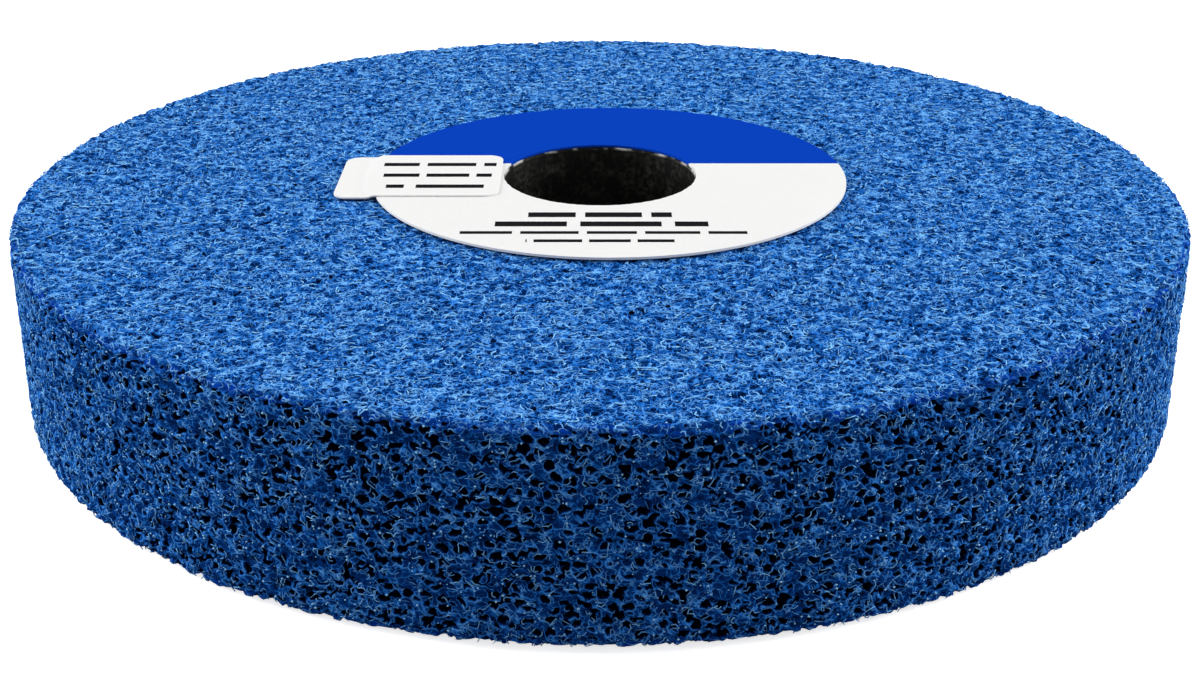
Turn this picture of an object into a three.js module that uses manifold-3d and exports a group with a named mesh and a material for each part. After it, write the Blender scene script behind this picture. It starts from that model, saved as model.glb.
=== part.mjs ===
// Non-woven abrasive deburring wheel: an open web of bonded fibre around a rigid core tube,
// with a round paper label on its upper face and a small sticker that laps over the label's edge.
// Millimetres, +Z up along the wheel's axis. The origin is the centre of the lower face.
import * as THREE from "three";
import { mergeVertices } from "three/addons/utils/BufferGeometryUtils.js";
import Module from "manifold-3d";

const wasm = await Module();
wasm.setup();

// Wheel
const WHEEL_DIAMETER = 152.4;
const WHEEL_WIDTH = 25.4;
const BORE_DIAMETER = 25.4;

// Core tube, bonded into the middle of the web
const CORE_WALL = 2.4;
const CORE_CHAMFER = 0.4;
const BOND_GAP = 0.3;

// Open pores of the rim, with thin ridges between them and a ragged edge at each face
const PORE_PITCH_ROUND = 5.0;
const PORE_PITCH_ACROSS = 4.2;
const PORE_DEPTHS = [1.1, 2.6];
const RIDGE_UNEVENNESS = 0.5;
const PORE_WANDER = 0.22;
const EDGE_LOSS = 0.7;

// Shallower pores of both faces, between the plain middle that the label lies on and the arris
const FACE_PORE_PITCH = 7.2;
const FACE_PORE_DEPTHS = [0.9, 2.0];
const PLAIN_MARGIN = 2.0;
const EDGE_BAND = 3.0;

// Round label
const LABEL_DIAMETER = 63.0;
const LABEL_THICKNESS = 0.3;
const LABEL_OFFSET_X = 1.2;
const LABEL_HOLE_MARGIN = 0.5;

// Sticker, beside the bore and past the label's edge
const STICKER_LENGTH = 21.4;
const STICKER_HEIGHT = 17.0;
const STICKER_THICKNESS = 0.2;
const STICKER_CORNER = 2.0;
const STICKER_TO_BORE = 0.5;
const STICKER_CENTRE_Y = -1.0;
const STICKER_STEP_LENGTH = 1.0;
const STICKER_STEP_CLEARANCE = 0.3;

// Roundness of the curved pieces, in flats for a full turn
const CORE_FLATS = 72;
const LABEL_FLATS = 96;
const CORNER_FLATS = 6;

// Worked out from the sizes above
const wheelRadius = WHEEL_DIAMETER / 2;
const boreRadius = BORE_DIAMETER / 2;
const coreOuterRadius = boreRadius + CORE_WALL;
const webBoreRadius = coreOuterRadius + BOND_GAP;
const labelRadius = LABEL_DIAMETER / 2;
const labelHoleRadius = boreRadius + LABEL_HOLE_MARGIN;
const labelTop = WHEEL_WIDTH + LABEL_THICKNESS;
const labelReach = LABEL_OFFSET_X + labelRadius;
const stickerReach = boreRadius + STICKER_TO_BORE + STICKER_LENGTH;
const plainRadius = Math.max(labelReach, stickerReach) + PLAIN_MARGIN;
const bandRadius = wheelRadius - EDGE_BAND;
const faceColumns = 2 * Math.round((Math.PI * wheelRadius) / PORE_PITCH_ROUND);
const rimColumns = 2 * faceColumns;
const rimSteps = 2 * Math.round(WHEEL_WIDTH / PORE_PITCH_ACROSS);
const faceSteps = 2 * Math.round((bandRadius - plainRadius) / FACE_PORE_PITCH);

const webMaterial = new THREE.MeshStandardMaterial({
  color: 0x1c62b8,
  roughness: 0.55,
  metalness: 0,
  flatShading: true,
});
const coreMaterial = new THREE.MeshStandardMaterial({
  color: 0x1b1b19,
  roughness: 0.5,
  metalness: 0,
});
const labelMaterial = new THREE.MeshStandardMaterial({
  color: 0xf4f4f2,
  roughness: 0.6,
  metalness: 0,
});
const stickerMaterial = new THREE.MeshStandardMaterial({
  color: 0xfafaf8,
  roughness: 0.5,
  metalness: 0,
});

// A repeatable number from 0 to 1 for a grid place, so that the web is uneven in the same way each time.
function scatter(column, row, layer) {
  const wave = Math.sin(column * 127.1 + row * 311.7 + layer * 74.7) * 43758.5453;
  return wave - Math.floor(wave);
}

function solidFrom(geometry) {
  const bare = geometry.clone();
  bare.deleteAttribute("normal");
  bare.deleteAttribute("uv");
  const merged = mergeVertices(bare);
  return new wasm.Manifold(
    new wasm.Mesh({
      numProp: 3,
      vertProperties: new Float32Array(merged.attributes.position.array),
      triVerts: new Uint32Array(merged.index.array),
    }),
  );
}

function geometryFrom(solid) {
  const mesh = solid.getMesh();
  const geometry = new THREE.BufferGeometry();
  geometry.setAttribute("position", new THREE.BufferAttribute(mesh.vertProperties, 3));
  geometry.setIndex(new THREE.BufferAttribute(mesh.triVerts, 1));
  geometry.computeVertexNormals();
  return geometry;
}

function namedMesh(name, geometry, material) {
  const mesh = new THREE.Mesh(geometry, material);
  mesh.name = name;
  return mesh;
}

// A ring's closed outline is given as [radius, height] pairs, the way round that turns its faces outwards.
// Its first column of points lies on +X.
function ring(outline, flats) {
  const points = outline.map(([radius, height]) => new THREE.Vector2(radius, height));
  points.push(points[0].clone());
  return new THREE.LatheGeometry(points, flats).rotateX(Math.PI / 2).rotateZ(Math.PI / 2);
}

// Zones of the web's surface, from the bore's lower edge out over the lower face, up the rim and back over
// the upper face. Each has rows of points from one [radius, height] place to another, and sinks them along a
// direction into the web.
const webZones = [
  { columns: faceColumns, steps: 0, from: [webBoreRadius, 0], to: [webBoreRadius, 0] },
  {
    columns: faceColumns,
    steps: faceSteps,
    from: [plainRadius, 0],
    to: [bandRadius, 0],
    inwards: [0, 1],
    poreDepths: FACE_PORE_DEPTHS,
    endLoss: 0,
  },
  {
    columns: rimColumns,
    steps: rimSteps,
    from: [wheelRadius, 0],
    to: [wheelRadius, WHEEL_WIDTH],
    inwards: [-1, 0],
    poreDepths: PORE_DEPTHS,
    endLoss: EDGE_LOSS,
  },
  {
    columns: faceColumns,
    steps: faceSteps,
    from: [bandRadius, WHEEL_WIDTH],
    to: [plainRadius, WHEEL_WIDTH],
    inwards: [0, -1],
    poreDepths: FACE_PORE_DEPTHS,
    endLoss: 0,
  },
  { columns: faceColumns, steps: 0, from: [webBoreRadius, WHEEL_WIDTH], to: [webBoreRadius, WHEEL_WIDTH] },
];

// How far a point sinks and wanders: pores are staggered like bricks, and ridges run between them.
function unevenness(zone, row, step, column) {
  if (!zone.inwards) {
    return { sunk: 0, round: 0, across: 0 };
  }
  const atEnd = step === 0 || step === zone.steps;
  const inPore = step % 2 === 1 && (column + (step - 1) / 2) % 2 === 1;
  const [least, most] = inPore ? zone.poreDepths : [0, atEnd ? zone.endLoss : RIDGE_UNEVENNESS];
  return {
    sunk: THREE.MathUtils.lerp(least, most, scatter(column, row, 1)),
    round: PORE_WANDER * (2 * scatter(column, row, 2) - 1),
    across: atEnd ? 0 : PORE_WANDER * (2 * scatter(column, row, 3) - 1),
  };
}

// One row of points round the web, in order of angle.
function webRow(zone, row, step) {
  const points = [];
  const inwards = zone.inwards ?? [0, 0];
  for (let column = 0; column < zone.columns; column += 1) {
    const { sunk, round, across } = unevenness(zone, row, step, column);
    const along = zone.steps ? (step + across) / zone.steps : 0;
    const radius = THREE.MathUtils.lerp(zone.from[0], zone.to[0], along) + sunk * inwards[0];
    const height = THREE.MathUtils.lerp(zone.from[1], zone.to[1], along) + sunk * inwards[1];
    const angle = ((column + round) / zone.columns) * 2 * Math.PI;
    points.push([radius * Math.cos(angle), radius * Math.sin(angle), height]);
  }
  return points;
}

// Triangles between two rows that run the same way round. One row may have twice as many points as the other.
// The sides of a pore all meet at its deepest point.
function bandTriangles(lower, upper, step) {
  const columns = Math.max(lower.length, upper.length);
  const pointOf = (row, column) => row[Math.floor((column * row.length) / columns) % row.length];
  const triangles = [];
  for (let column = 0; column < columns; column += 1) {
    const [lowerLeft, lowerRight] = [pointOf(lower, column), pointOf(lower, column + 1)];
    const [upperLeft, upperRight] = [pointOf(upper, column), pointOf(upper, column + 1)];
    const rising = (column + step + Math.floor(step / 2)) % 2 === 0;
    if (lowerLeft !== lowerRight) {
      triangles.push(lowerLeft, lowerRight, rising ? upperRight : upperLeft);
    }
    if (upperLeft !== upperRight) {
      triangles.push(rising ? lowerLeft : lowerRight, upperRight, upperLeft);
    }
  }
  return triangles;
}

// The web: rows of points round the wheel, joined by bands of triangles into one closed ring.
function makeAbrasiveWeb() {
  const rows = [];
  const stepOf = [];
  for (const zone of webZones) {
    for (let step = 0; step <= zone.steps; step += 1) {
      rows.push(webRow(zone, rows.length, step));
      stepOf.push(step);
    }
  }
  const triangles = rows.flatMap((row, index) =>
    bandTriangles(row, rows[(index + 1) % rows.length], stepOf[index]),
  );
  const geometry = new THREE.BufferGeometry();
  geometry.setAttribute("position", new THREE.Float32BufferAttribute(triangles.flat(), 3));
  const welded = mergeVertices(geometry);
  welded.computeVertexNormals();
  return namedMesh("abrasive_web", welded, webMaterial);
}

// The tube that lines the bore, with a small chamfer at each mouth.
function makeCoreTube() {
  const outline = [
    [boreRadius + CORE_CHAMFER, 0],
    [coreOuterRadius, 0],
    [coreOuterRadius, WHEEL_WIDTH],
    [boreRadius + CORE_CHAMFER, WHEEL_WIDTH],
    [boreRadius, WHEEL_WIDTH - CORE_CHAMFER],
    [boreRadius, CORE_CHAMFER],
  ];
  return namedMesh("core_tube", ring(outline, CORE_FLATS), coreMaterial);
}

// A disc of stiff paper, set a little off centre, with a hole that leaves the bore open.
function makeRoundLabel() {
  const outline = new THREE.Shape();
  outline.absarc(LABEL_OFFSET_X, 0, labelRadius, 0, 2 * Math.PI);
  const hole = new THREE.Path();
  hole.absarc(0, 0, labelHoleRadius, 0, 2 * Math.PI, true);
  outline.holes.push(hole);
  const geometry = new THREE.ExtrudeGeometry(outline, {
    depth: LABEL_THICKNESS,
    bevelEnabled: false,
    curveSegments: LABEL_FLATS / 2,
  });
  const label = namedMesh("round_label", geometry, labelMaterial);
  label.position.z = WHEEL_WIDTH;
  return label;
}

function roundedRectangle(length, height, corner) {
  const right = length / 2;
  const top = height / 2;
  const outline = new THREE.Shape();
  outline.absarc(right - corner, top - corner, corner, 0, Math.PI / 2);
  outline.absarc(corner - right, top - corner, corner, Math.PI / 2, Math.PI);
  outline.absarc(corner - right, corner - top, corner, Math.PI, 1.5 * Math.PI);
  outline.absarc(right - corner, corner - top, corner, 1.5 * Math.PI, 2 * Math.PI);
  return outline;
}

// The sticker lies on the label and steps down past the label's edge on to the web.
// The stepped sheet is turned about the label's centre, then trimmed to the sticker's outline.
function makeLotSticker() {
  const stepStart = labelRadius + STICKER_STEP_CLEARANCE;
  const stepEnd = stepStart + STICKER_STEP_LENGTH;
  const sheetEnd = stepEnd + STICKER_LENGTH;
  const sheet = ring(
    [
      [boreRadius, labelTop],
      [stepStart, labelTop],
      [stepEnd, WHEEL_WIDTH],
      [sheetEnd, WHEEL_WIDTH],
      [sheetEnd, WHEEL_WIDTH + STICKER_THICKNESS],
      [stepEnd, WHEEL_WIDTH + STICKER_THICKNESS],
      [stepStart, labelTop + STICKER_THICKNESS],
      [boreRadius, labelTop + STICKER_THICKNESS],
    ],
    LABEL_FLATS,
  ).translate(LABEL_OFFSET_X, 0, 0);
  const centreX = -(boreRadius + STICKER_TO_BORE + STICKER_LENGTH / 2);
  const trim = new THREE.ExtrudeGeometry(
    roundedRectangle(STICKER_LENGTH, STICKER_HEIGHT, STICKER_CORNER),
    { depth: 2 * WHEEL_WIDTH, bevelEnabled: false, curveSegments: CORNER_FLATS },
  ).translate(centreX, STICKER_CENTRE_Y, 0);
  const sticker = solidFrom(sheet).intersect(solidFrom(trim));
  return namedMesh("lot_sticker", geometryFrom(sticker), stickerMaterial);
}

const deburringWheel = new THREE.Group();
deburringWheel.name = "deburring_wheel";
deburringWheel.add(makeAbrasiveWeb(), makeCoreTube(), makeRoundLabel(), makeLotSticker());

export default deburringWheel;
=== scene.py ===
"""Looks of a non-woven deburring wheel that lies flat.

Everything is in metres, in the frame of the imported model. The wheel is an open web of bonded fibre with a
core tube, a round label and a sticker. The web's skin is a fine net that sinks into open pores and small
pits, and loose loops and specks of fibre lie on it.
"""

import math
import random

import bmesh
import bpy
from bpy.props import FloatProperty, FloatVectorProperty, IntProperty, PointerProperty
from mathutils import Matrix, Vector, noise


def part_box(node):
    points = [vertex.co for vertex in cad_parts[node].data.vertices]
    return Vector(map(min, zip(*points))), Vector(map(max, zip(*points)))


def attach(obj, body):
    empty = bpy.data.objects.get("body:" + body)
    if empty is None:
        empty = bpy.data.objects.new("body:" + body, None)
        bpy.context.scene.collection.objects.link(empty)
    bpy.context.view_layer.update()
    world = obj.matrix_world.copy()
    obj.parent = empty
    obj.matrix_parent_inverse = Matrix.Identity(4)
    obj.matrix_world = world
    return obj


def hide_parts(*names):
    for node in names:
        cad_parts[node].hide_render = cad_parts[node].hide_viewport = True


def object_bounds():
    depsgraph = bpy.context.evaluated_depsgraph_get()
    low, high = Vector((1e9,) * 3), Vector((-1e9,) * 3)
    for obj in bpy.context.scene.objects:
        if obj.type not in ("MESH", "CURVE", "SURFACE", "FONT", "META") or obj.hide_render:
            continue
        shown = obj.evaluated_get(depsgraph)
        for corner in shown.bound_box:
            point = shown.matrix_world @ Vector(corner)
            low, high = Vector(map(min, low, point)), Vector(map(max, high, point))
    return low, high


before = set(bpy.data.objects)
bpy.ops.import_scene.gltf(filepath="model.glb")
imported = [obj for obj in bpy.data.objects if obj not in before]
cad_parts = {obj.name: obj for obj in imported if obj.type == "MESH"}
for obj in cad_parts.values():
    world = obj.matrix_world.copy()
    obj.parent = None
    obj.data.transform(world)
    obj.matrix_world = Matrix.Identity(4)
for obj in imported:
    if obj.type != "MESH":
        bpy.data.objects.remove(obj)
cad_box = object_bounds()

bl_info = {
    "name": "Deburring Wheel",
    "version": (1, 0, 0),
    "blender": (4, 5, 0),
    "location": "3D View > Sidebar > Deburring Wheel",
    "description": "Models the looks of a non-woven deburring wheel round its packed solids",
    "category": "Mesh",
}

MM = 0.001
FULL_TURN = 2 * math.pi
WEB_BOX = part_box("abrasive_web")
WEB_RADIUS = min(-WEB_BOX[0].x, -WEB_BOX[0].y, WEB_BOX[1].x, WEB_BOX[1].y)
WEB_MIDDLE = (WEB_BOX[0].z + WEB_BOX[1].z) / 2
CORE_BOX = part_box("core_tube")
LABEL_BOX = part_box("round_label")
STICKER_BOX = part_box("lot_sticker")

# Noises that shape the skin, against the pitch of the pores, pits or beads
PORE_SIZE_SCALE = 0.7
WARP_SCALE = 2.3
WARP = 0.2
SWELL_SCALE = 0.9
PIT_REACH = 0.55
BEAD_REACH = 0.78
BEAD_SLOPE = 0.4
ARRIS_SHALLOWER = 0.6

# How far from a pore's edge the fibres lie, their brightnesses, and the specks' sizes against the usual one
RIM_REACH = 0.45 * MM
FACE_REACH = 2 * MM
RIM_TONES = (0.64, 0.76, 0.94)
FACE_TONES = (0.5, 0.75, 1.0)
SPECK_SIZES = (0.75, 1.0, 1.3)

# How far fibres stray from their way and turn in one step, in radians, and how deep they sink, in millimetres
RING_STRAY = 0.3
LOOSE_STRAY = 0.8
STEP_TURN = 0.9
SUNK = 0.1

# How far a fibre round a pore leans to the way round the axis, so that it always has a heading
LEAN = 0.01

# Scales of the materials' noises, to the metre. Grains are coarse and fine, and level lines have a width
FIBRE_GRAIN = (750, 2400)
CORE_GRAIN = (420, 1400)
PAPER_GRAIN = (60, 2200)
STRAND_WARP = 800
STRAND_CELLS = 1000
STRAND_LEVELS = ((620, 0.026), (900, 0.032))
SCUFF_STREAKS = 750

# Where a pore's painted highlight along its lip and painted shade down its wall lie from its edge, in
# millimetres, and how bright lips and strands are
LIP_MIDDLE = 0.03
LIP_REACH = 0.07
WALL_SHADE_REACH = 0.09
LIP_HIGHLIGHT = 0.65
STRAND_TONE = 0.65

# How finely the smaller pieces are made
WELD = 0.001 * MM
CORE_STEPS = 144
LABEL_STEPS = 192
HOLE_JITTER = 0.004
STICKER_GRID = 0.4 * MM
CREASE = math.radians(40)
FLOOR_REACH = 4


def length(name, description, default):
    """A property for a size, in metres."""
    return FloatProperty(name=name, description=description, default=default, unit="LENGTH", precision=5)


def colour(name, description, default):
    """A property for a colour, as linear red, green and blue."""
    return FloatVectorProperty(
        name=name, description=description, default=default, size=3, min=0, max=1, subtype="COLOR"
    )


def share(name, description, default):
    """A property for a part of a whole, from 0 to 1."""
    return FloatProperty(name=name, description=description, default=default, min=0, max=1, subtype="FACTOR")


def count(name, description, default):
    """A property for a number of things."""
    return IntProperty(name=name, description=description, default=default, min=0)


def ratio(name, description, default):
    """A property for a plain number without a unit."""
    return FloatProperty(name=name, description=description, default=default)


def angle(name, description, default):
    """A property for an angle, in radians."""
    return FloatProperty(name=name, description=description, default=default, subtype="ANGLE")


def power(name, description, default):
    """A property for a lamp's power, in watts."""
    return FloatProperty(name=name, description=description, default=default, unit="POWER")


class WebSettings(bpy.types.PropertyGroup):
    """The nets, pores, pits and beads of the web's skin."""

    rim_grid: length("Rim Grid", "Distance between the points of the rim's net", 0.36 * MM)
    face_grid: length("Face Grid", "Distance between the points of the upper face's net", 0.48 * MM)
    under_grid: length("Underside Grid", "Distance between the points of the underside's net", 1.3 * MM)
    band: length("Band", "Width of the face's bands, each with its own number of columns", 11 * MM)
    arris: length("Arris", "Radius of the web's two arrises", 1.3 * MM)
    pore_pitch: length("Pore Pitch", "Distance between the pores", 1.5 * MM)
    rim_pore: share("Rim Pore", "Radius of the rim's largest pores, as a share of their pitch", 0.54)
    face_pore: share("Face Pore", "Radius of the faces' largest pores, as a share of their pitch", 0.27)
    pore_spread: share("Pore Spread", "How far the pores differ in radius, as a share of their pitch", 0.13)
    pore_depth: length("Pore Depth", "Depth of the open pores", 1.4 * MM)
    pore_wall: length("Pore Wall", "Width of a pore's sloping wall", 0.35 * MM)
    pore_gap: share("Pore Gap", "Half the wall left between two pores, as a share of their pitch", 0.11)
    lip: length("Lip", "Height of the lip round a pore", 0.1 * MM)
    pit_pitch: length("Pit Pitch", "Distance between the small pits", 0.95 * MM)
    pit_depth: length("Pit Depth", "Depth of the small pits", 0.45 * MM)
    squat: ratio("Squat", "How much longer than high the rim's pores are", 1.5)
    clearance: length("Clearance", "Least depth of the skin below the outline", 0.1 * MM)
    unevenness: length("Unevenness", "How far the skin rises and falls", 0.45 * MM)
    bead: length("Bead", "Height of the beads along the arris", 0.7 * MM)
    bead_pitch: length("Bead Pitch", "Distance between the beads along the arris", 1.35 * MM)
    backing: length("Backing", "Thickness of the skins", 3 * MM)
    seed: IntProperty(name="Seed", description="Start of the noise that bends the pores", default=3, min=1)


class FibreSettings(bpy.types.PropertyGroup):
    """The loose fibres on the web."""

    rim_radius: length("Rim Fibre", "Half the thickness of a fibre on the rim", 0.075 * MM)
    face_radius: length("Face Fibre", "Half the thickness of a fibre on the upper face", 0.095 * MM)
    speck: length("Speck Radius", "Half the size of a speck of resin on the fibres", 0.13 * MM)
    proud: length("Proud", "How far a fibre stands over the place that it lies on", 0.1 * MM)
    rim_loops: count("Rim Loops", "Loops of fibre on the rim", 12000)
    rim_specks: count("Rim Specks", "Bright specks on the rim", 3400)
    face_loops: count("Face Loops", "Loops of fibre on the upper face", 19000)
    face_specks: count("Face Specks", "Bright specks on the upper face", 1200)
    face_spread: ratio("Face Spread", "How much longer the upper face's loops are than the rim's", 1.3)
    ringed: share("Ringed", "Share of the loops that bend round a pore", 0.6)
    margin: length("Margin", "Width along the arrises on which no loop starts", 1 * MM)
    tilt: angle("Tilt", "How far a loop tilts out of the surface", math.radians(14))
    seed: count("Seed", "Start of the random draws", 5)


class PaperSettings(bpy.types.PropertyGroup):
    """The label and the sticker."""

    hole_radius: length("Hole", "Radius of the label's hole", 12.85 * MM)
    field_edge: length("Field Edge", "Height of the coloured field's lower edge over the axis", 4.5 * MM)
    corner: length("Sticker Corner", "Radius of the sticker's corners", 2 * MM)
    step_start: length("Step Start", "How far past the label's edge the sticker steps down", 0.3 * MM)
    step_length: length("Step Length", "Length of the sticker's step down", 1 * MM)
    sheet: length("Sticker Thickness", "Thickness of the sticker", 0.2 * MM)
    seed: count("Seed", "Start of the random draws", 11)


class CoreSettings(bpy.types.PropertyGroup):
    """The tube that lines the bore."""

    bore_radius: length("Bore", "Radius of the bore", 12.7 * MM)
    chamfer: length("Chamfer", "Chamfer at each mouth of the bore", 0.4 * MM)


class ColourSettings(bpy.types.PropertyGroup):
    """The colours of the wheel's surfaces."""

    # The next colour is the fibres' own pale blue, brightened partly as a painted highlight on crests and
    # strands
    crest_and_highlight: colour("Crest", "Crests of the ridges and the fibres", (0.24, 0.59, 1.0))
    ridge: colour("Ridge", "Thicker resin beside the fibres", (0.014, 0.175, 0.66))
    skin: colour("Skin", "Resin skins between the ridges", (0.0022, 0.033, 0.19))
    # The next two colours are painted shade: dark in the pores' walls and floors, where shade falls
    hollow_shade: colour("Hollow", "Walls of the pores", (0.0008, 0.009, 0.05))
    depth: colour("Depth", "Floors of the open pores", (0.0003, 0.001, 0.006))
    bead: colour("Bead", "Resin beads along the arris", (0.002, 0.045, 0.42))
    # The next colour is a painted glint: the specks of resin are coloured as bright glints
    speck: colour("Speck", "Bright specks of resin", (0.34, 0.68, 1.0))
    paper: colour("Paper", "Bare paper of the label and the sticker", (0.77, 0.77, 0.765))
    field: colour("Field", "Coloured field of the label", (0.0028, 0.046, 0.43))
    ink: colour("Ink", "Printed rows", (0.012, 0.012, 0.014))
    core: colour("Core", "Wall of the core tube", (0.0025, 0.0025, 0.0023))
    scuff: colour("Scuff", "Scuffs and blotches on the core tube", (0.024, 0.024, 0.021))
    # The next colour is a painted glint on the mouths of the core tube
    wear_and_glint: colour("Glinting", "Worn mouths of the core tube", (0.55, 0.55, 0.53))


class StageSettings(bpy.types.PropertyGroup):
    """The camera, the lamps and the floor."""

    camera_place: FloatVectorProperty(
        name="Camera",
        description="Where the camera stands",
        default=(0.0, -229.7 * MM, 101.1 * MM),
        subtype="XYZ",
        unit="LENGTH",
    )
    camera_pitch: angle("Pitch", "How far the camera looks down", math.radians(23.37))
    lens: ratio("Lens", "Focal length in millimetres", 54.0)
    above: power("Lamp Above", "Power of the lamp above", 1.35)
    beside: power("Side Lamps", "Power of each side lamp", 6.1)
    before: power("Front Lamp", "Power of the lamp before", 1.05)
    ambient: share("Ambient", "Light from all round", 0.28)
    floor_drop: length("Floor Drop", "How far the floor lies below the wheel's underside", 0.02 * MM)
    floor_lit: share("Floor", "Colour of the floor where it is seen", 0.9)
    floor_glow: share("Floor Glow", "Light that whitens the floor where it is seen", 0.68)
    floor_bounce: share("Floor Bounce", "Share of the light that the floor throws back on the wheel", 0.3)


class WheelSettings(bpy.types.PropertyGroup):
    """All that a user would change on the wheel."""

    web: PointerProperty(type=WebSettings)
    fibres: PointerProperty(type=FibreSettings)
    paper: PointerProperty(type=PaperSettings)
    core: PointerProperty(type=CoreSettings)
    colours: PointerProperty(type=ColourSettings)
    stage: PointerProperty(type=StageSettings)


def settings():
    """The settings that the scene holds."""
    return bpy.context.scene.deburring_wheel


def new_piece(name, bm, material, node):
    """Makes a bmesh a finished piece: an object at the origin that rides on the wheel in place of a solid."""
    mesh = bpy.data.meshes.new(name)
    bm.to_mesh(mesh)
    bm.free()
    mesh.polygons.foreach_set("use_smooth", [True] * len(mesh.polygons))
    mesh.materials.append(material)
    piece = bpy.data.objects.new(name, mesh)
    bpy.context.scene.collection.objects.link(piece)
    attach(piece, "root")
    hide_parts(node)
    return piece


def keep_in_web(bm):
    """Draws in any point that stands out of the web's outline, which is rounded along its arrises."""
    web = settings().web
    arris = web.arris
    most = arris - web.clearance
    soft = WEB_RADIUS - arris
    soft_height = WEB_BOX[1].z - WEB_MIDDLE - arris
    for vert in bm.verts:
        radius = math.hypot(vert.co.x, vert.co.y)
        height = vert.co.z - WEB_MIDDLE
        past_rim = max(radius - soft, 0)
        past_face = max(abs(height) - soft_height, 0)
        past = math.hypot(past_rim, past_face)
        if past > most:
            vert.co.xy *= (radius - past_rim * (1 - most / past)) / radius
            vert.co.z -= math.copysign(past_face * (1 - most / past), height)


def steps_between(start, end, step):
    """Evenly spaced values from start to end, about a step apart."""
    steps = max(1, round(abs(end - start) / step))
    return [start + (end - start) * i / steps for i in range(steps + 1)]


def columns_round(radius, spacing):
    """How many columns, a multiple of four, stand about a spacing apart on a circle."""
    return 4 * round(FULL_TURN * radius / spacing / 4)


def add_band(bm, outline, columns):
    """Rolls a grid round the axis over a chain of (radius, height) points. Gives its first and last edges."""
    last = len(outline) - 1
    points = bmesh.ops.create_grid(bm, x_segments=columns, y_segments=last, size=1)["verts"]
    rows = [[] for _ in outline]
    seam = []
    for point in points:
        column = round((point.co.x + 1) / 2 * columns)
        row = round((point.co.y + 1) / 2 * last)
        turn = FULL_TURN * column / columns
        radius, height = outline[row]
        point.co = (radius * math.cos(turn), radius * math.sin(turn), height)
        if column == columns:
            seam.append(point)
        else:
            rows[row].append(point)
    firsts = [row[0] for row in rows]
    bmesh.ops.remove_doubles(bm, verts=firsts + seam, dist=WELD)
    ends = []
    for row in (rows[0], rows[-1]):
        found = [edge for point in row[1:] for edge in point.link_edges if edge.is_boundary]
        ends.append(list(dict.fromkeys(found)))
    return ends


def ring_net(bands):
    """A net of rows round the axis, from bands of (radius, height) outlines with their numbers of columns."""
    bm = bmesh.new()
    last = None
    for outline, columns in bands:
        first, end = add_band(bm, outline, columns)
        if last:
            bmesh.ops.bridge_loops(bm, edges=last + first)
        last = end
    return bm


def face_bands(start, end, height, spacing, columns):
    """Bands of a face, from one radius in to another. The further in, the fewer columns a band has."""
    joints = steps_between(start, end, settings().web.band)
    bands = [([(start, height), (start - spacing, height)], columns)]
    for outside, inside in zip(joints, joints[1:]):
        rows = steps_between(bands[-1][0][-1][0] - spacing, inside, spacing)
        bands.append(([(radius, height) for radius in rows], columns_round((outside + inside) / 2, spacing)))
    return bands


def web_rings():
    """The bands of each ring of the web's skin, by name. Rings that meet share a row of points."""
    web = settings().web
    outer = WEB_RADIUS
    top = WEB_BOX[1].z
    bottom = WEB_BOX[0].z
    middle = WEB_MIDDLE
    soft = outer - web.arris
    columns = columns_round(outer, web.rim_grid)
    turns = steps_between(math.pi / 2, 0, math.pi / 10)
    bend = [(soft + web.arris * math.cos(turn), web.arris * (1 - math.sin(turn))) for turn in turns]
    upper = [(radius, top - drop) for radius, drop in bend]
    upper += [(outer, z) for z in steps_between(top - web.arris, middle, web.rim_grid)[1:]]
    lower = [(outer, z) for z in steps_between(middle, bottom + web.arris, web.rim_grid)[:-1]]
    lower += [(radius, bottom + drop) for radius, drop in reversed(bend)]
    under_label = -LABEL_BOX[0].x - web.face_grid
    halfway = math.sqrt((soft**2 + under_label**2) / 2)
    face_outer = face_bands(soft, halfway, top, web.face_grid, columns)
    face_inner = face_bands(halfway, under_label, top, web.face_grid, face_outer[-1][1])
    return {
        "web_rim_upper": [(upper, columns)],
        "web_rim_lower": [(lower, columns)],
        "web_face_outer": face_outer,
        "web_face_inner": face_inner,
        "web_underside": face_bands(soft, CORE_BOX[1].x, bottom, web.under_grid, columns),
    }


def ease(value):
    """A smooth step from 0 to 1."""
    value = min(max(value, 0), 1)
    return value * value * (3 - 2 * value)


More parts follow.
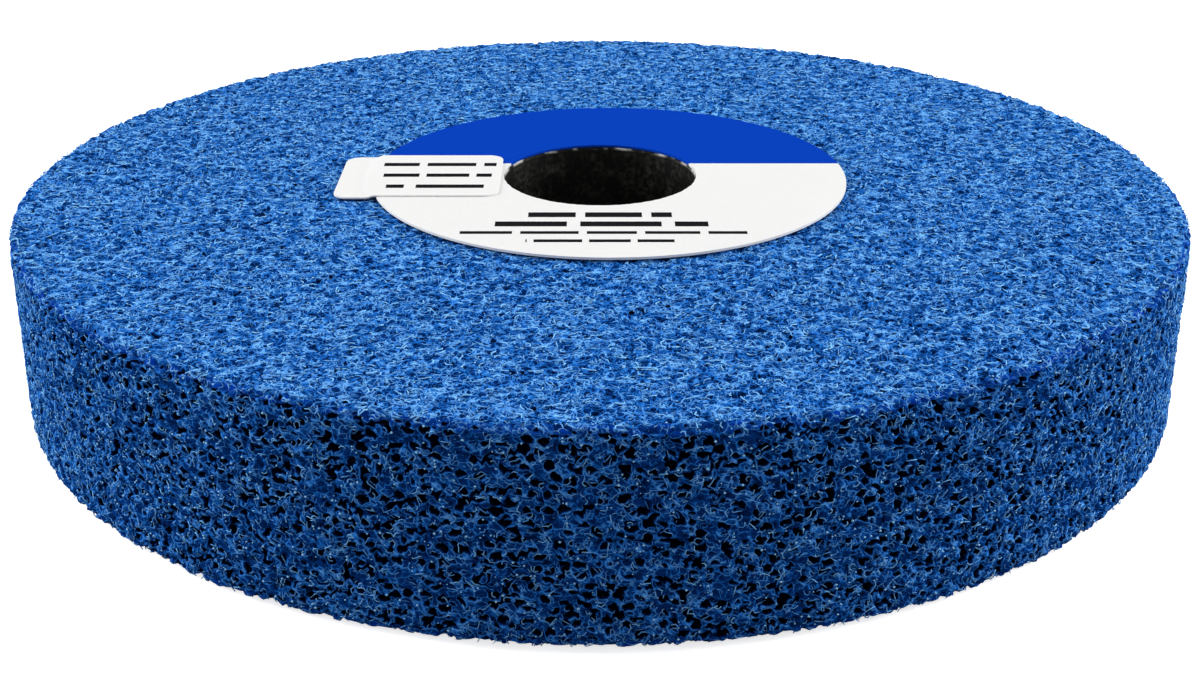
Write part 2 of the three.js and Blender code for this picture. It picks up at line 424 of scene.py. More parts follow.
def sink_skin(bm):
    """Sinks the points of a net into pores and pits, and notes on each what the materials and fibres need."""
    web = settings().web
    arris, clearance, unevenness, squat = web.arris, web.clearance, web.unevenness, web.squat
    pitch, pore_depth, wall, gap, lip = web.pore_pitch, web.pore_depth, web.pore_wall, web.pore_gap, web.lip
    face_pore, rim_pore, pore_spread = web.face_pore, web.rim_pore, web.pore_spread
    pit_depth, bead_height = web.pit_depth, web.bead
    to_pits = web.pore_pitch / web.pit_pitch
    to_beads = web.pore_pitch / web.bead_pitch
    soft = WEB_RADIUS - arris
    middle = WEB_MIDDLE
    soft_height = WEB_BOX[1].z - middle - arris
    pore_layer = bm.verts.layers.float.new("pore")
    pit_layer = bm.verts.layers.float.new("pit")
    bead_layer = bm.verts.layers.float.new("bead")
    face_layer = bm.verts.layers.float.new("face")
    inward_layer = bm.verts.layers.float_vector.new("inward")
    for vert in bm.verts:
        x, y, z = vert.co
        radius = math.hypot(x, y)
        side = min(max((radius - soft) / arris, 0), 1)
        flat = min(max((abs(z - middle) - soft_height) / arris, 0), 1)
        outward = Vector((x / radius * side, y / radius * side, math.copysign(flat, z - middle))).normalized()
        place = Vector((x, y, z * squat)) / pitch
        by_arris = 2 * side * flat
        size = face_pore + (rim_pore - face_pore) * side * (1 - by_arris)
        size += pore_spread * noise.noise(place * PORE_SIZE_SCALE)
        bent = place + WARP * noise.noise_vector(place * WARP_SCALE)
        (near, next_near, *_), (seed, next_seed, *_) = noise.voronoi(bent)
        to_border = (next_near**2 - near**2) / (2 * (next_seed - seed).length)
        edge = max(near - size, gap - to_border) * pitch
        pit = max(0, 1 - noise.voronoi(bent * to_pits)[0][0] / PIT_REACH)
        bead = by_arris * ease((BEAD_REACH - noise.voronoi(bent * to_beads)[0][0]) / BEAD_SLOPE)
        depth = clearance + unevenness * (0.5 + 0.5 * noise.noise(place * SWELL_SCALE))
        sunk = pore_depth * (1 - ARRIS_SHALLOWER * by_arris) * ease(-edge / wall)
        depth += sunk + pit_depth * (1 - by_arris) * pit
        depth += bead_height * (by_arris - bead)
        depth -= lip * ease(1 - abs(edge / lip - 1) / 2)
        vert.co -= outward * max(depth, clearance)
        vert[pore_layer] = edge / MM
        vert[pit_layer] = pit
        vert[bead_layer] = bead
        vert[face_layer] = flat * (1 - side)
        vert[inward_layer] = seed - bent


def close_piece(bm, inwards):
    """Closes an open ring of skin: its two edges are carried inwards and joined by a wall."""
    pore = bm.verts.layers.float["pore"]
    rims = [edge for edge in bm.edges if edge.is_boundary]
    carried = bmesh.ops.extrude_edge_only(bm, edges=rims)["geom"]
    for vert in (item for item in carried if isinstance(item, bmesh.types.BMVert)):
        vert.co = inwards(vert.co)
        vert[pore] = -1
    rims = [edge for edge in bm.edges if edge.is_boundary]
    bmesh.ops.bridge_loops(bm, edges=rims)
    bmesh.ops.recalc_face_normals(bm, faces=bm.faces[:])


def add_node(tree, kind, inputs=None, **options):
    """Adds a shader node, sets its options, and sets or links its inputs."""
    node = tree.nodes.new("ShaderNode" + kind)
    for key, value in options.items():
        setattr(node, key, value)
    for key, value in (inputs or {}).items():
        if isinstance(value, bpy.types.NodeSocket):
            tree.links.new(value, node.inputs[key])
        else:
            node.inputs[key].default_value = value
    return node


def work_out(tree, operation, *values):
    """The result of a Math node, from numbers or sockets."""
    return add_node(tree, "Math", dict(enumerate(values)), operation=operation).outputs[0]


def mix_colours(tree, factor, one, other):
    """A colour between two colours, each of them a socket or red, green and blue."""
    ends = [end if isinstance(end, bpy.types.NodeSocket) else (*end, 1) for end in (one, other)]
    inputs = {"Factor": factor, "A": ends[0], "B": ends[1]}
    return add_node(tree, "Mix", inputs, data_type="RGBA").outputs["Result"]


def blend_stops(tree, factor, stops):
    """A colour ramp through (position, colour) stops."""
    node = add_node(tree, "ValToRGB", {"Fac": factor})
    elements = node.color_ramp.elements
    while len(elements) < len(stops):
        elements.new(1)
    for element, (position, tone) in zip(elements, stops):
        element.position = position
        element.color = (*tone, 1)
    return node.outputs["Color"]


def new_material(name):
    """A material, its node tree and its shader."""
    material = bpy.data.materials.new(name)
    material.use_nodes = True
    return material, material.node_tree, material.node_tree.nodes["Principled BSDF"]


def new_group(name, inputs, outputs):
    """A node group with the sockets named, its input sockets by name, and its output node."""
    tree = bpy.data.node_groups.new(name, "ShaderNodeTree")
    for socket, kind in inputs.items():
        tree.interface.new_socket(socket, in_out="INPUT", socket_type="NodeSocket" + kind)
    for socket in outputs:
        tree.interface.new_socket(socket, in_out="OUTPUT", socket_type="NodeSocketFloat")
    return tree, tree.nodes.new("NodeGroupInput").outputs, tree.nodes.new("NodeGroupOutput")


def grain_group():
    """Coarse mottling and fine grain, from about 0 to 1, for any surface of the wheel."""
    if "surface_grain" in bpy.data.node_groups:
        return bpy.data.node_groups["surface_grain"]
    inputs = {"Place": "Vector", "Coarse Scale": "Float", "Fine Scale": "Float"}
    tree, given, made = new_group("surface_grain", inputs, ("Mottle", "Grain"))
    place = given["Place"]
    mottle = add_node(tree, "TexNoise", {"Vector": place, "Scale": given["Coarse Scale"], "Detail": 2})
    grain = add_node(tree, "TexNoise", {"Vector": place, "Scale": given["Fine Scale"], "Detail": 4})
    tree.links.new(mottle.outputs["Fac"], made.inputs["Mottle"])
    tree.links.new(grain.outputs["Fac"], made.inputs["Grain"])
    return tree


def add_grain(tree, coarse, fine):
    """Places the grain in a material, on Object coordinates: the place, the mottling and the grain."""
    place = add_node(tree, "TexCoord").outputs["Object"]
    node = add_node(tree, "Group", node_tree=grain_group())
    tree.links.new(place, node.inputs["Place"])
    node.inputs["Coarse Scale"].default_value = coarse
    node.inputs["Fine Scale"].default_value = fine
    return place, node.outputs["Mottle"], node.outputs["Grain"]


def add_bump(tree, shader, height, strength, distance):
    """Roughens a shader's normal by a height."""
    inputs = {"Height": height, "Strength": strength, "Distance": distance}
    bump = add_node(tree, "Bump", inputs)
    tree.links.new(bump.outputs["Normal"], shader.inputs["Normal"])


def spread(tree, value, middle, amount):
    """A value's distance from its middle, times an amount."""
    return work_out(tree, "MULTIPLY", work_out(tree, "SUBTRACT", value, middle), amount)


def fade(tree, value, full, none):
    """A mask that falls from 1 where a value is full to 0 where it is none."""
    ends = {"Value": value, "From Min": full, "From Max": none, "To Min": 1.0, "To Max": 0.0}
    return add_node(tree, "MapRange", ends).outputs[0]


def larger(tree, *values):
    """The largest of some values."""
    most = values[0]
    for value in values[1:]:
        most = work_out(tree, "MAXIMUM", most, value)
    return most


def strand_lines(tree, place, dense):
    """Thin curly lines in the skin: borders of bent cells and, where dense, level lines of two noises."""
    flatter = (1, 1, settings().web.squat)
    squat = add_node(tree, "VectorMath", {0: place, 1: flatter}, operation="MULTIPLY").outputs[0]
    warp = add_node(tree, "TexNoise", {"Vector": squat, "Scale": STRAND_WARP, "Detail": 1}).outputs["Color"]
    shift = (MM, MM, MM)
    bent = add_node(tree, "VectorMath", {0: warp, 1: shift, 2: squat}, operation="MULTIPLY_ADD").outputs[0]
    cells = add_node(tree, "TexVoronoi", {"Vector": bent, "Scale": STRAND_CELLS}, feature="DISTANCE_TO_EDGE")
    lines = [fade(tree, cells.outputs["Distance"], 0.03, 0.09)]
    for scale, reach in STRAND_LEVELS:
        level = add_node(tree, "TexNoise", {"Vector": squat, "Scale": scale, "Detail": 1}).outputs["Fac"]
        away = work_out(tree, "ABSOLUTE", work_out(tree, "SUBTRACT", level, 0.5))
        lines.append(work_out(tree, "MULTIPLY", fade(tree, away, 0.4 * reach, reach), dense))
    return larger(tree, *lines)


def fibre_material():
    """Bonded fibre: pale strands partly brightened as a painted highlight, a painted highlight along the
    lips, blue skins, pores painted near-black as shade, deep blue beads and specks painted as glints.
    """
    if "bonded_fibre" in bpy.data.materials:
        return bpy.data.materials["bonded_fibre"]
    colours = settings().colours
    material, tree, shader = new_material("bonded_fibre")
    place, mottle, grain = add_grain(tree, *FIBRE_GRAIN)
    names = ("pore", "pit", "bead", "face", "fibre", "speck")
    pore, pit, bead, face, fibre, speck = (
        add_node(tree, "Attribute", attribute_name=name).outputs["Fac"] for name in names
    )
    strands = strand_lines(tree, place, larger(tree, face, bead))
    patches = {"Value": mottle, "From Min": 0.36, "From Max": 0.6, "To Min": 0.25, "To Max": 1.0}
    bright = add_node(tree, "MapRange", patches).outputs[0]
    on_face = work_out(tree, "MULTIPLY", face, work_out(tree, "MULTIPLY_ADD", bright, 0.45, 0.3))
    # On the beads the strands are at full brightness: pale fibres, brightened partly as a painted highlight
    # along the arris
    bright = larger(tree, work_out(tree, "MULTIPLY", bright, STRAND_TONE), on_face, bead)
    # Painted highlight: a pale line along each pore's lip
    from_lip = work_out(tree, "ABSOLUTE", work_out(tree, "SUBTRACT", pore, LIP_MIDDLE))
    lip = fade(tree, from_lip, 0.0, LIP_REACH)
    strands = work_out(tree, "MULTIPLY", strands, bright)
    line = larger(tree, strands, work_out(tree, "MULTIPLY", lip, LIP_HIGHLIGHT), fibre)
    # Random mottle in the skins' tone, spread wider on the upper face; it stands partly for painted light and
    # shade on skins that face up and down
    mottle_shade_spread = work_out(tree, "MULTIPLY_ADD", face, 0.4, 0.5)
    skin = work_out(tree, "MULTIPLY_ADD", work_out(tree, "SUBTRACT", mottle, 0.5), mottle_shade_spread, 0.5)
    skin = work_out(tree, "ADD", skin, spread(tree, grain, 0.5, 0.3))
    # Painted shade: the skin darkens in the small pits
    skin = work_out(tree, "SUBTRACT", skin, work_out(tree, "MULTIPLY", pit, 0.4))
    tone = work_out(tree, "MULTIPLY_ADD", work_out(tree, "SUBTRACT", 1.0, skin), line, skin)
    # Painted shade: the tone falls to black down each pore's wall and floor
    pore_shade = fade(tree, pore, 0.0, -WALL_SHADE_REACH)
    tone = work_out(tree, "MULTIPLY", tone, pore_shade)
    # The two darkest stops are painted shade in the pores' walls and floors and in the pits
    stops = (
        (0.04, colours.depth),
        (0.25, colours.hollow_shade),
        (0.5, colours.skin),
        (0.72, colours.ridge),
        (1.0, colours.crest_and_highlight),
    )
    tint = blend_stops(tree, tone, stops)
    drop = work_out(tree, "MULTIPLY", work_out(tree, "SUBTRACT", 1.0, line), bead)
    tint = mix_colours(tree, work_out(tree, "MULTIPLY", drop, pore_shade), tint, colours.bead)
    # Painted glint: the specks take their pale colour
    tint = mix_colours(tree, speck, tint, colours.speck)
    tree.links.new(tint, shader.inputs["Base Color"])
    tree.links.new(work_out(tree, "ADD", 0.4, spread(tree, grain, 0.5, 0.3)), shader.inputs["Roughness"])
    tree.links.new(work_out(tree, "MULTIPLY", line, 0.06), shader.inputs["Coat Weight"])
    shader.inputs["Coat Roughness"].default_value = 0.35
    shader.inputs["Coat Tint"].default_value = (0.6, 0.8, 1, 1)
    shader.inputs["Specular IOR Level"].default_value = 0.0
    height = work_out(tree, "ADD", line, work_out(tree, "MULTIPLY", grain, 0.5))
    add_bump(tree, shader, height, 1.0, 0.14 * MM)
    return material


class DEBURR_OT_web(bpy.types.Operator):
    """Models the web's skin: two rings of the rim, two of the upper face and one of the underside"""

    bl_idname = "deburr.web"
    bl_label = "Web"

    def execute(self, context):
        web = settings().web
        noise.seed_set(web.seed)
        backing = web.backing
        middle = WEB_MIDDLE
        shrink = 1 - backing / WEB_RADIUS
        back_height = 0.75

        def to_axis(co):
            return Vector((co.x * shrink, co.y * shrink, middle + back_height * (co.z - middle)))

        def to_middle(co):
            return co + Vector((0, 0, math.copysign(backing, middle - co.z)))

        for name, bands in web_rings().items():
            ring = ring_net(bands)
            sink_skin(ring)
            close_piece(ring, to_axis if "rim" in name else to_middle)
            new_piece(name, ring, fibre_material(), "abrasive_web")
        return {"FINISHED"}


def note(bm, name, value):
    """Gives every point of a bmesh the same value of a new attribute."""
    layer = bm.verts.layers.float.new(name)
    for vert in bm.verts:
        vert[layer] = value


def loop_template(name, arcs, radius, tone):
    """A bent fibre as a mesh: a small triangle spun through (bend radius, turn) arcs, closed at both ends."""
    bm = bmesh.new()
    bmesh.ops.create_circle(bm, cap_ends=True, segments=3, radius=radius)
    end = bm.verts[:] + bm.edges[:] + bm.faces[:]
    place = Vector((0, 0, 0))
    side = Vector((1, 0, 0))
    for bend, turn in arcs:
        centre = place + side * math.copysign(bend, turn)
        steps = max(1, round(abs(turn) / STEP_TURN))
        end = bmesh.ops.spin(bm, geom=end, cent=centre, axis=(0, 1, 0), angle=turn, steps=steps)["geom_last"]
        swing = Matrix.Rotation(turn, 3, "Y")
        place = centre + swing @ (place - centre)
        side = swing @ side
    bmesh.ops.recalc_face_normals(bm, faces=bm.faces[:])
    note(bm, "fibre", tone)
    mesh = bpy.data.meshes.new(name)
    bm.to_mesh(mesh)
    bm.free()
    return mesh


def loop_templates(radius, stretch, tones):
    """Bent fibres of several shapes and some brightnesses: hooks, waves and open bends."""
    # Each shape is a chain of arcs, by bend radius and turn
    shapes = (
        ((0.35 * MM, 2.6),),
        ((0.5 * MM, 2.2),),
        ((0.6 * MM, 1.7),),
        ((0.4 * MM, 1.5), (0.45 * MM, -1.3)),
        ((0.6 * MM, 0.9), (0.3 * MM, 1.9)),
        ((0.55 * MM, 1.1), (0.45 * MM, -1.3)),
    )
    stretched = [[(bend * stretch, turn) for bend, turn in shape] for shape in shapes]
    return [loop_template("loop", shape, radius, tone) for shape in stretched for tone in tones]


def speck_templates():
    """Bright round specks of resin, of a few sizes."""
    specks = []
    for size in SPECK_SIZES:
        bm = bmesh.new()
        bmesh.ops.create_uvsphere(bm, u_segments=4, v_segments=2, radius=size * settings().fibres.speck)
        note(bm, "fibre", 1)
        note(bm, "speck", 1)
        mesh = bpy.data.meshes.new("speck")
        bm.to_mesh(mesh)
        bm.free()
        specks.append(mesh)
    return specks


def shut_places(piece, reach):
    """The places near a skin's pores and off its arrises, each with the way to its pore's middle."""
    margin = settings().fibres.margin
    mesh = bpy.data.objects[piece].data
    edges = [0.0] * len(mesh.vertices)
    inwards = [0.0] * (3 * len(mesh.vertices))
    mesh.attributes["pore"].data.foreach_get("value", edges)
    mesh.attributes["inward"].data.foreach_get("vector", inwards)
    found = []
    for i, vert in enumerate(mesh.vertices):
        by_rim = WEB_RADIUS - vert.co.xy.length < margin
        by_face = WEB_BOX[1].z - WEB_MIDDLE - abs(vert.co.z - WEB_MIDDLE) < margin
        if 0 < edges[i] * MM < reach and not (by_rim and by_face):
            found.append((vert.co.copy(), Vector(inwards[3 * i : 3 * i + 3]).normalized()))
    return found


def scatter(bm, template, matrix, outward):
    """Adds a copy of a template to a bmesh, placed by a matrix and pressed down where it stands too proud."""
    rest = [0.0] * (3 * len(template.vertices))
    template.vertices.foreach_get("co", rest)
    template.transform(matrix)
    level = matrix.translation.dot(outward) + settings().fibres.proud
    for vert in template.vertices:
        vert.co -= outward * max(0, vert.co.dot(outward) - level)
    bm.from_mesh(template)
    template.vertices.foreach_set("co", rest)


def laid_matrix(place, outward, heading, tilt):
    """Lays a template's Z along a heading in the surface and its Y outwards, tilted about the heading."""
    across = outward.cross(heading)
    turned = Matrix((across, outward, heading)).transposed()
    return Matrix.Translation(place) @ (turned @ Matrix.Rotation(tilt, 3, "Z")).to_4x4()


def fibre_mat(places, bent, loops, grains, specks, outward_of, rng):
    """Scatters loops of fibre and specks over some places of a skin."""
    fibres = settings().fibres
    bm = bmesh.new()
    for _ in range(loops):
        place, inward = rng.choice(places)
        outward = outward_of(place)
        around = Vector((-place.y, place.x, 0)).normalized()
        if rng.random() < fibres.ringed:
            heading = Matrix.Rotation(rng.gauss(0, RING_STRAY), 3, outward) @ inward.cross(outward)
            heading = (heading + LEAN * around).normalized()
        else:
            stray = rng.gauss(0, LOOSE_STRAY) + rng.choice((0, math.pi))
            heading = Matrix.Rotation(stray, 3, outward) @ around
        sunk = place - outward * rng.uniform(0, SUNK) * MM
        matrix = laid_matrix(sunk, outward, heading, rng.gauss(0, fibres.tilt))
        scatter(bm, rng.choice(bent), matrix, outward)
    for place, _ in rng.sample(places, specks):
        scatter(bm, rng.choice(grains), Matrix.Translation(place), outward_of(place))
    return bm


def away_from_axis(co):
    """The way out of the rim at a place."""
    return Vector((co.x, co.y, 0)).normalized()


def straight_up(co):
    """The way out of the upper face at any place."""
    return Vector((0, 0, 1))


class DEBURR_OT_fibres(bpy.types.Operator):
    """Lays loops and specks of bonded fibre on the rim and the upper face"""

    bl_idname = "deburr.fibres"
    bl_label = "Fibres"

    def execute(self, context):
        fibres = settings().fibres
        rng = random.Random(fibres.seed)
        thin = loop_templates(fibres.rim_radius, 1, RIM_TONES)
        thick = loop_templates(fibres.face_radius, fibres.face_spread, FACE_TONES)
        grains = speck_templates()
        rim = (RIM_REACH, thin, fibres.rim_loops, fibres.rim_specks, away_from_axis)
        face = (FACE_REACH, thick, fibres.face_loops, fibres.face_specks, straight_up)
        mats = (("rim", ("upper", "lower"), *rim), ("face", ("outer", "inner"), *face))
        for zone, parts, reach, bent, loops, specks, outward_of in mats:
            places = {part: shut_places(f"web_{zone}_{part}", reach) for part in parts}
            total = sum(len(found) for found in places.values())
            for part, found in places.items():
                size = len(found) / total
                mat = fibre_mat(
                    found, bent, round(loops * size), grains, round(specks * size), outward_of, rng
                )
                keep_in_web(mat)
                new_piece(f"{zone}_fibres_{part}", mat, fibre_material(), "abrasive_web")
        for mesh in thin + thick + grains:
            bpy.data.meshes.remove(mesh)
        return {"FINISHED"}


def core_material():
    """Hard dark tube with pale scuffs along the bore, blotches, and a painted glint on its mouths in places.
    """
    colours = settings().colours
    material, tree, shader = new_material("hard_core")
    place, mottle, grain = add_grain(tree, *CORE_GRAIN)
    along = add_node(tree, "Mapping", {"Vector": place, "Scale": (1, 1, 0.16)}).outputs[0]
    streak = add_node(tree, "TexNoise", {"Vector": along, "Scale": SCUFF_STREAKS, "Detail": 3}).outputs["Fac"]
    scuffed = fade(tree, streak, 0.72, 0.5)
    blotched = fade(tree, mottle, 0.68, 0.46)
    wear_and_glint = work_out(tree, "MULTIPLY", larger(tree, scuffed, blotched), fade(tree, grain, 0.62, 0.4))
    tint = mix_colours(tree, wear_and_glint, colours.core, colours.scuff)
    middle = (CORE_BOX[0].z + CORE_BOX[1].z) / 2
    height = work_out(tree, "SUBTRACT", add_node(tree, "SeparateXYZ", {0: place}).outputs["Z"], middle)
    from_mouth = work_out(tree, "SUBTRACT", CORE_BOX[1].z - middle, work_out(tree, "ABSOLUTE", height))
    by_mouth = fade(tree, from_mouth, 0.1 * MM, 0.4 * MM)
    # Painted glint: a pale colour on the mouths' inner edges, where highlights fall
    mouth_glint = work_out(tree, "MULTIPLY", by_mouth, fade(tree, mottle, 0.66, 0.5))
    level = add_node(tree, "VectorMath", {0: place, 1: (1, 1, 0)}, operation="MULTIPLY").outputs[0]
    from_axis = add_node(tree, "VectorMath", {0: level}, operation="LENGTH").outputs["Value"]
    bore = settings().core.bore_radius
    mouth_glint = work_out(tree, "MULTIPLY", mouth_glint, fade(tree, from_axis, bore + 0.2 * MM, bore + 0.5 * MM))
    tint = mix_colours(tree, mouth_glint, tint, colours.wear_and_glint)
    tree.links.new(tint, shader.inputs["Base Color"])
    tree.links.new(work_out(tree, "ADD", 0.35, spread(tree, grain, 0.0, 0.4)), shader.inputs["Roughness"])
    shader.inputs["Specular IOR Level"].default_value = 0.06
    add_bump(tree, shader, work_out(tree, "ADD", grain, streak), 0.6, 0.1 * MM)
    return material


class DEBURR_OT_core(bpy.types.Operator):
    """Models the tube that lines the bore"""

    bl_idname = "deburr.core"
    bl_label = "Core Tube"

    def execute(self, context):
        core = settings().core
        low = CORE_BOX[0].z
        high = CORE_BOX[1].z
        outer = CORE_BOX[1].x
        bm = bmesh.new()
        corners = ((core.bore_radius, low), (outer, low), (outer, high), (core.bore_radius, high))
        bm.faces.new([bm.verts.new((radius, 0, height)) for radius, height in corners])
        bore_corners = [v for v in bm.verts if v.co.x < outer - core.chamfer]
        bmesh.ops.bevel(
            bm,
            geom=bore_corners,
            offset=core.chamfer,
            offset_type="OFFSET",
            affect="VERTICES",
            segments=4,
            profile=0.5,
            material=-1,
        )
        section = bm.edges[:] + bm.verts[:]
        bmesh.ops.delete(bm, geom=bm.faces[:], context="FACES_ONLY")
        bmesh.ops.spin(
            bm,
            geom=section,
            axis=(0, 0, 1),
            cent=(0, 0, 0),
            angle=FULL_TURN,
            steps=CORE_STEPS,
            use_merge=True,
        )
        bmesh.ops.recalc_face_normals(bm, faces=bm.faces[:])
        piece = new_piece("core_lining", bm, core_material(), "core_tube")
        sharpen(piece)
        return {"FINISHED"}


def sharpen(piece):
    """Keeps the arrises of a smooth-shaded piece crisp."""
    with bpy.context.temp_override(object=piece, active_object=piece, selected_editable_objects=[piece]):
        bpy.ops.object.shade_smooth_by_angle(angle=CREASE)


def row_group():
    """A printed row of plain bars with gaps between them: 1 on the bars and 0 elsewhere."""
    if "printed_row" in bpy.data.node_groups:
        return bpy.data.node_groups["printed_row"]
    inputs = {"Place": "Vector", "Middle": "Vector"}
    inputs.update({"Half Length": "Float", "Half Height": "Float", "Bars": "Float"})
    tree, given, made = new_group("printed_row", inputs, ("Mask",))
    ends = {0: given["Place"], 1: given["Middle"]}
    offset = add_node(tree, "VectorMath", ends, operation="SUBTRACT").outputs[0]
    axes = add_node(tree, "SeparateXYZ", {0: offset}).outputs
    within = work_out(tree, "LESS_THAN", work_out(tree, "ABSOLUTE", axes["X"]), given["Half Length"])
    beside = work_out(tree, "LESS_THAN", work_out(tree, "ABSOLUTE", axes["Y"]), given["Half Height"])
    bars = add_node(
        tree,
        "TexVoronoi",
        {"W": axes["X"], "Scale": given["Bars"], "Randomness": 0.55},
        voronoi_dimensions="1D",
        feature="DISTANCE_TO_EDGE",
    ).outputs["Distance"]
    apart = work_out(tree, "GREATER_THAN", bars, 0.07)
    mask = work_out(tree, "MULTIPLY", work_out(tree, "MULTIPLY", within, beside), apart)
    tree.links.new(mask, made.inputs["Mask"])
    return tree


def paper_material(name, rows, field):
    """Printed paper: bare stock, a coloured field above an edge if there is one, and rows of plain bars."""
    colours = settings().colours
    material, tree, shader = new_material(name)
    place, mottle, grain = add_grain(tree, *PAPER_GRAIN)
    fleck = work_out(tree, "ADD", spread(tree, grain, 0.5, 0.08), spread(tree, mottle, 0.5, 0.04))
    shade = work_out(tree, "ADD", 0.97, fleck)
    stock = colours.paper
    if field:
        height = add_node(tree, "SeparateXYZ", {0: place}).outputs["Y"]
        above = work_out(tree, "GREATER_THAN", height, settings().paper.field_edge)
        stock = mix_colours(tree, above, colours.paper, colours.field)
    for middle, half_length, half_height, bars in rows:
        row = add_node(tree, "Group", node_tree=row_group())
        tree.links.new(place, row.inputs["Place"])
        row.inputs["Middle"].default_value = (*middle, 0)
        row.inputs["Half Length"].default_value = half_length
        row.inputs["Half Height"].default_value = half_height
        row.inputs["Bars"].default_value = bars
        stock = mix_colours(tree, row.outputs["Mask"], stock, colours.ink)
    tinted = add_node(tree, "VectorMath", {0: stock, 1: shade}, operation="MULTIPLY")
    tree.links.new(tinted.outputs[0], shader.inputs["Base Color"])
    tree.links.new(work_out(tree, "ADD", 0.4, spread(tree, grain, 0.0, 0.3)), shader.inputs["Roughness"])
    shader.inputs["Specular IOR Level"].default_value = 0.0
    add_bump(tree, shader, work_out(tree, "ADD", grain, mottle), 0.2, 0.05 * MM)
    return material


def thicken(bm, thickness):
    """Gives a flat sheet its thickness upwards."""
    flat = bm.faces[:]
    raised = bmesh.ops.extrude_face_region(bm, geom=flat, use_keep_orig=True)["geom"]
    lifted = [item for item in raised if isinstance(item, bmesh.types.BMVert)]
    bmesh.ops.translate(bm, verts=lifted, vec=(0, 0, thickness))
    bmesh.ops.recalc_face_normals(bm, faces=bm.faces[:])


class DEBURR_OT_label(bpy.types.Operator):
    """Models the round label"""

    bl_idname = "deburr.label"
    bl_label = "Round Label"

    def execute(self, context):
        paper = settings().paper
        rng = random.Random(paper.seed)
        centre = (LABEL_BOX[0] + LABEL_BOX[1]) / 2
        radius = (LABEL_BOX[1].x - LABEL_BOX[0].x) / 2
        level = Matrix.Translation((0, 0, LABEL_BOX[0].z))
        bm = bmesh.new()
        aside = level @ Matrix.Translation((centre.x, centre.y, 0))
        bmesh.ops.create_circle(bm, segments=LABEL_STEPS, radius=radius, matrix=aside)
        inner = paper.hole_radius
        hole = bmesh.ops.create_circle(bm, segments=LABEL_STEPS, radius=inner, matrix=level)["verts"]
        bmesh.ops.bridge_loops(bm, edges=bm.edges[:])
        for vert in hole:
            vert.co.xy *= 1 + rng.uniform(-1, 1) * HOLE_JITTER
        thicken(bm, LABEL_BOX[1].z - LABEL_BOX[0].z)
        # Each row has its middle, half its length, half its height and its bars to the metre
        rows = (
            ((0.0, -16.4 * MM), 9 * MM, 0.9 * MM, 120),
            ((0.2 * MM, -19.8 * MM), 13.2 * MM, 0.9 * MM, 85),
            ((0.0, -22.9 * MM), 18 * MM, 0.5 * MM, 140),
            ((0.0, -25.8 * MM), 9 * MM, 0.5 * MM, 170),
        )
        piece = new_piece("label_paper", bm, paper_material("label_paper", rows, True), "round_label")
        sharpen(piece)
        return {"FINISHED"}


class DEBURR_OT_sticker(bpy.types.Operator):
    """Models the sticker, which steps down past the label's edge"""

    bl_idname = "deburr.sticker"
    bl_label = "Lot Sticker"

    def execute(self, context):
        paper = settings().paper
        middle = (STICKER_BOX[0] + STICKER_BOX[1]) / 2
        size = STICKER_BOX[1] - STICKER_BOX[0]
        bm = bmesh.new()
        bmesh.ops.create_grid(bm, x_segments=1, y_segments=1, size=0.5)
        bmesh.ops.scale(bm, vec=(size.x, size.y, 1), verts=bm.verts)
        bmesh.ops.bevel(
            bm,
            geom=bm.verts[:],
            offset=paper.corner,
            offset_type="OFFSET",
            affect="VERTICES",
            segments=8,
            profile=0.5,
            material=-1,
        )
        bmesh.ops.translate(bm, verts=bm.verts, vec=(middle.x, middle.y, 0))
        for axis, normal in enumerate((Vector((1, 0, 0)), Vector((0, 1, 0)))):
            for cut in steps_between(STICKER_BOX[0][axis], STICKER_BOX[1][axis], STICKER_GRID)[1:-1]:
                whole = bm.verts[:] + bm.edges[:] + bm.faces[:]
                bmesh.ops.bisect_plane(bm, geom=whole, plane_co=normal * cut, plane_no=normal)
        label_middle = (LABEL_BOX[0] + LABEL_BOX[1]) / 2
        step_start = LABEL_BOX[1].x - label_middle.x + paper.step_start
        for vert in bm.verts:
            past = (vert.co.xy - label_middle.xy).length - step_start
            fall = ease(past / paper.step_length)
            vert.co.z = LABEL_BOX[1].z - fall * (LABEL_BOX[1].z - WEB_BOX[1].z)
        thicken(bm, paper.sheet)
        # Each row has its middle, half its length, half its height and its bars to the metre
        rows = (
            ((-21.6 * MM, 3.4 * MM), 7.6 * MM, 0.7 * MM, 130),
            ((-21.6 * MM, -1.2 * MM), 7.2 * MM, 0.7 * MM, 150),
            ((-21.6 * MM, -5.8 * MM), 6.4 * MM, 0.7 * MM, 90),
        )
        piece = new_piece("sticker_paper", bm, paper_material("sticker_paper", rows, False), "lot_sticker")
        sharpen(piece)
        return {"FINISHED"}


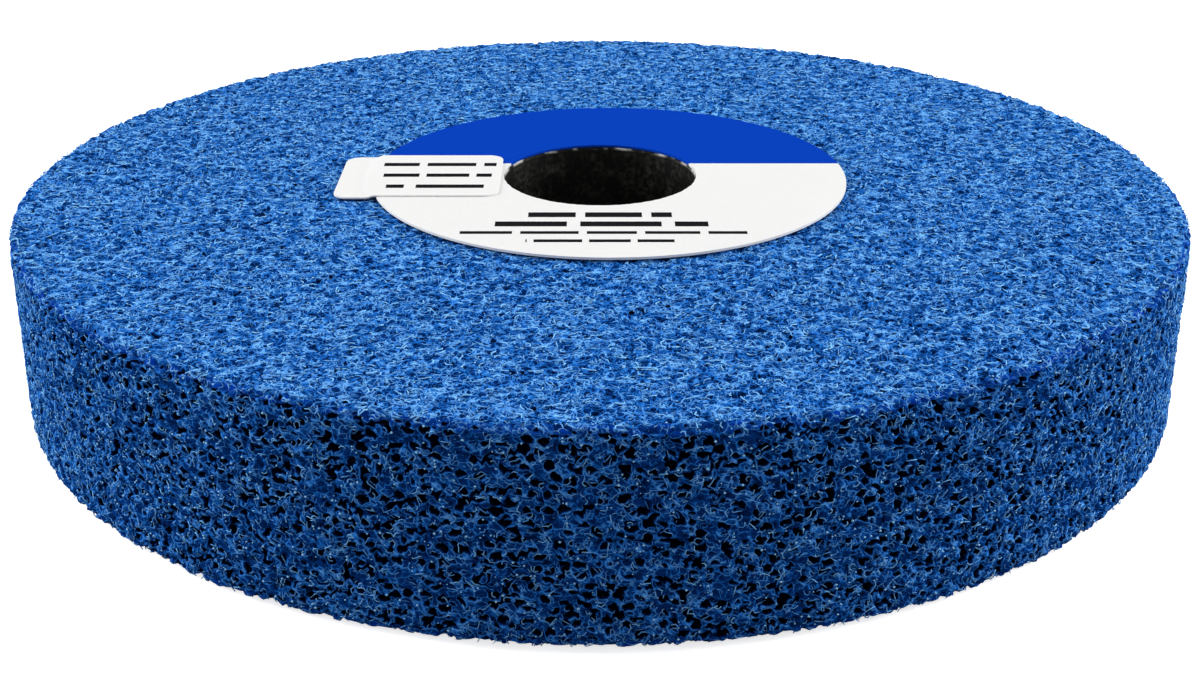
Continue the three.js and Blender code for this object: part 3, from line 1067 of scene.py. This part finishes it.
class DEBURR_OT_stage(bpy.types.Operator):
    """Sets up the floor, the lamps, the world and the camera"""

    bl_idname = "deburr.stage"
    bl_label = "Stage"

    def execute(self, context):
        stage = settings().stage
        scene = context.scene
        scene.view_settings.view_transform = "Standard"
        camera = bpy.data.objects.new("camera", bpy.data.cameras.new("camera"))
        camera.data.lens = stage.lens
        camera.data.clip_start = 1 * MM
        camera.location = stage.camera_place
        camera.rotation_euler = (math.pi / 2 - stage.camera_pitch, 0, 0)
        scene.collection.objects.link(camera)
        scene.camera = camera

        bm = bmesh.new()
        low = Matrix.Translation((0, 0, cad_box[0].z - stage.floor_drop))
        bmesh.ops.create_grid(bm, x_segments=1, y_segments=1, size=FLOOR_REACH, matrix=low)
        mesh = bpy.data.meshes.new("floor")
        bm.to_mesh(mesh)
        bm.free()
        floor = bpy.data.objects.new("floor", mesh)
        scene.collection.objects.link(floor)
        mesh.materials.append(floor_material())

        scene.world = bpy.data.worlds.new("studio")
        scene.world.use_nodes = True
        tree = scene.world.node_tree
        light = tree.nodes["Background"]
        light.inputs["Color"].default_value = (1, 1, 1, 1)
        white = work_out(tree, "MULTIPLY_ADD", seen_directly(tree), 1 - stage.ambient, stage.ambient)
        tree.links.new(white, light.inputs["Strength"])
        add_lamp("lamp_above", place=(0, 0.2, 0.76), size=0.5, watts=stage.above)
        add_lamp("lamp_before", place=(0, -0.75, 0.4), size=0.5, watts=stage.before)
        add_lamp("lamp_left", place=(-0.7, 0.12, 0.3), size=0.45, watts=stage.beside)
        add_lamp("lamp_right", place=(0.7, 0.12, 0.3), size=0.45, watts=stage.beside)
        return {"FINISHED"}


def seen_directly(tree):
    """1 for a ray that shows the floor or the world in the picture, a reflection or a clear piece."""
    path = add_node(tree, "LightPath").outputs
    mirrored = work_out(tree, "MAXIMUM", path["Is Camera Ray"], path["Is Glossy Ray"])
    return work_out(tree, "MAXIMUM", mirrored, path["Is Transmission Ray"])


def add_lamp(name, place, size, watts):
    """A soft square lamp that shines at the wheel."""
    lamp = bpy.data.lights.new(name, "AREA")
    lamp.shape = "SQUARE"
    lamp.size = size
    lamp.energy = watts
    holder = bpy.data.objects.new(name, lamp)
    holder.location = place
    holder.rotation_euler = Vector(place).to_track_quat("Z", "Y").to_euler()
    bpy.context.scene.collection.objects.link(holder)


def floor_material():
    """A floor that looks white, keeps the wheel's shadow and throws little light back on the wheel."""
    stage = settings().stage
    material, tree, shader = new_material("floor")
    seen = seen_directly(tree)
    dim = (stage.floor_bounce,) * 3
    lit = (stage.floor_lit,) * 3
    tree.links.new(mix_colours(tree, seen, dim, lit), shader.inputs["Base Color"])
    tree.links.new(work_out(tree, "MULTIPLY", seen, stage.floor_glow), shader.inputs["Emission Strength"])
    shader.inputs["Emission Color"].default_value = (1, 1, 1, 1)
    shader.inputs["Roughness"].default_value = 1
    shader.inputs["Specular IOR Level"].default_value = 0
    return material


class VIEW3D_PT_deburring_wheel(bpy.types.Panel):
    """Lists what makes the wheel, and its settings"""

    bl_label = "Deburring Wheel"
    bl_space_type = "VIEW_3D"
    bl_region_type = "UI"
    bl_category = "Deburring Wheel"

    def draw(self, context):
        for operator in OPERATORS:
            self.layout.operator(operator.bl_idname)
        for name in WheelSettings.__annotations__:
            group = getattr(settings(), name)
            box = self.layout.box()
            box.label(text=name.title())
            for setting in type(group).__annotations__:
                box.prop(group, setting)


GROUPS = (
    WebSettings,
    FibreSettings,
    PaperSettings,
    CoreSettings,
    ColourSettings,
    StageSettings,
    WheelSettings,
)
OPERATORS = (
    DEBURR_OT_web,
    DEBURR_OT_fibres,
    DEBURR_OT_core,
    DEBURR_OT_label,
    DEBURR_OT_sticker,
    DEBURR_OT_stage,
)
CLASSES = (*GROUPS, *OPERATORS, VIEW3D_PT_deburring_wheel)


def register():
    for cls in CLASSES:
        bpy.utils.register_class(cls)
    bpy.types.Scene.deburring_wheel = PointerProperty(type=WheelSettings)


def unregister():
    del bpy.types.Scene.deburring_wheel
    for cls in reversed(CLASSES):
        bpy.utils.unregister_class(cls)


def main():
    """Makes the wheel and its stage."""
    register()
    bpy.ops.deburr.web()
    bpy.ops.deburr.fibres()
    bpy.ops.deburr.core()
    bpy.ops.deburr.label()
    bpy.ops.deburr.sticker()
    bpy.ops.deburr.stage()


if __name__ == "__main__":
    main()
